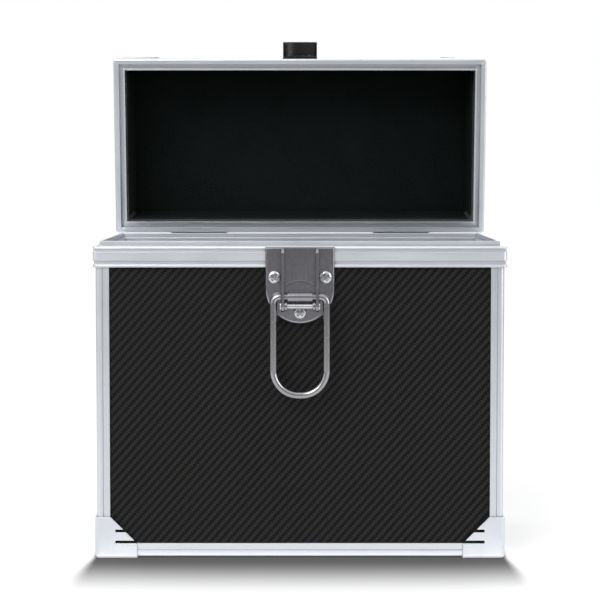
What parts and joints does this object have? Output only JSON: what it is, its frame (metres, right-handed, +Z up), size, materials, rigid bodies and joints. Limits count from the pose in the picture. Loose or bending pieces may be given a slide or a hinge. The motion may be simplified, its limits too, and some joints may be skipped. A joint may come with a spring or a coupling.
{
  "type": "record carrying case",
  "caption": "Hard carrying case for 7-inch records, with aluminium edges, metal corner guards, a hinged lid that stops open, a draw latch with a wire loop, and a folding handle.",
  "frame": {"origin": "on the ground under the middle of the case as it stands with its lid open", "axes": "+X to the case's right as seen from its front, +Y from the latch towards the hinges, +Z up"},
  "size_m": [0.2, 0.1597, 0.2582],
  "materials": {
    "panel_laminate": "black embossed diagonal weave laminate on board",
    "rim_aluminium": "satin anodised extrusion",
    "edge_aluminium": "satin anodised extrusion",
    "corner_steel": "bright zinc on pressed steel",
    "body_lining": "thin black felt on foam",
    "lid_lining": "black foam with a fine cell structure",
    "latch_steel": "satin nickel on pressed steel",
    "bail_wire": "bright nickel on drawn wire",
    "pin_steel": "bright turned steel",
    "screw_chrome": "bright nickel",
    "rivet_steel": "bright zinc",
    "hinge_steel": "satin nickel on pressed steel",
    "catch_black": "black enamel on pressed steel",
    "handle_moulding": "fine-grained black moulding"
  },
  "bodies": {
    "case_body": {"body_back_edge_rail": "edge_aluminium", "body_back_left_corner_guard": "corner_steel", "body_back_left_post": "edge_aluminium", "body_back_panel": "panel_laminate", "body_back_right_corner_guard": "corner_steel", "body_back_right_post": "edge_aluminium", "body_back_rim_rail": "rim_aluminium", "body_floor_lining": "body_lining", "body_floor_panel": "panel_laminate", "body_front_edge_rail": "edge_aluminium", "body_front_left_corner_guard": "corner_steel", "body_front_left_post": "edge_aluminium", "body_front_panel": "panel_laminate", "body_front_right_corner_guard": "corner_steel", "body_front_right_post": "edge_aluminium", "body_front_rim_rail": "rim_aluminium", "body_left_edge_rail": "edge_aluminium", "body_left_panel": "panel_laminate", "body_left_rim_rail": "rim_aluminium", "body_right_edge_rail": "edge_aluminium", "body_right_panel": "panel_laminate", "body_right_rim_rail": "rim_aluminium", "body_wall_lining": "body_lining", "hinge_body_leaves": "hinge_steel", "hinge_body_rivets": "rivet_steel", "hinge_pins": "pin_steel", "latch_base": "latch_steel", "latch_pin": "pin_steel", "latch_screws": "screw_chrome"},
    "lid": {"lid_back_edge_rail": "edge_aluminium", "lid_back_left_corner_guard": "corner_steel", "lid_back_panel": "panel_laminate", "lid_back_right_corner_guard": "corner_steel", "lid_back_rim_rail": "rim_aluminium", "lid_front_edge_rail": "edge_aluminium", "lid_front_left_corner_guard": "corner_steel", "lid_front_panel": "panel_laminate", "lid_front_right_corner_guard": "corner_steel", "lid_front_rim_rail": "rim_aluminium", "lid_left_edge_rail": "edge_aluminium", "lid_left_panel": "panel_laminate", "lid_left_rim_rail": "rim_aluminium", "lid_posts": "edge_aluminium", "lid_right_edge_rail": "edge_aluminium", "lid_right_panel": "panel_laminate", "lid_right_rim_rail": "rim_aluminium", "lid_top_lining": "lid_lining", "lid_top_panel": "panel_laminate", "lid_wall_lining": "lid_lining", "catch": "catch_black", "catch_rivets": "catch_black", "hinge_lid_leaves": "hinge_steel", "hinge_lid_rivets": "rivet_steel", "handle_brackets": "hinge_steel", "handle_rivets": "rivet_steel", "handle_pins": "pin_steel"},
    "latch_lever": {"latch_lever": "latch_steel"},
    "bail_bush": {"bail_bush": "pin_steel"},
    "bail": {"bail": "bail_wire"},
    "handle": {"handle": "handle_moulding"}
  },
  "joints": [
    {"name": "lid_hinge", "type": "hinge", "parent": "case_body", "child": "lid", "pos_m": [0, 0.02463, 0.15215], "axis": [1, 0, 0], "range_deg": [0, 84]},
    {"name": "latch_lever_pivot", "type": "hinge", "parent": "case_body", "child": "latch_lever", "pos_m": [0, -0.07697, 0.1235], "axis": [1, 0, 0], "range_deg": [0, 184]},
    {"name": "bail_bush_turn", "type": "hinge", "parent": "latch_lever", "child": "bail_bush", "pos_m": [0, -0.07697, 0.1279], "axis": [1, 0, 0], "range_deg": [-184, 0]},
    {"name": "bail_swing", "type": "hinge", "parent": "bail_bush", "child": "bail", "pos_m": [0, -0.07697, 0.1279], "axis": [1, 0, 0], "range_deg": [-180, 0]},
    {"name": "handle_fold", "type": "hinge", "parent": "lid", "child": "handle", "pos_m": [0, 0.07225, 0.20663], "axis": [1, 0, 0], "range_deg": [0, 180]}
  ],
  "couplings": [
    {"joint": "bail_bush_turn", "follows": "latch_lever_pivot", "ratio": -1}
  ]
}
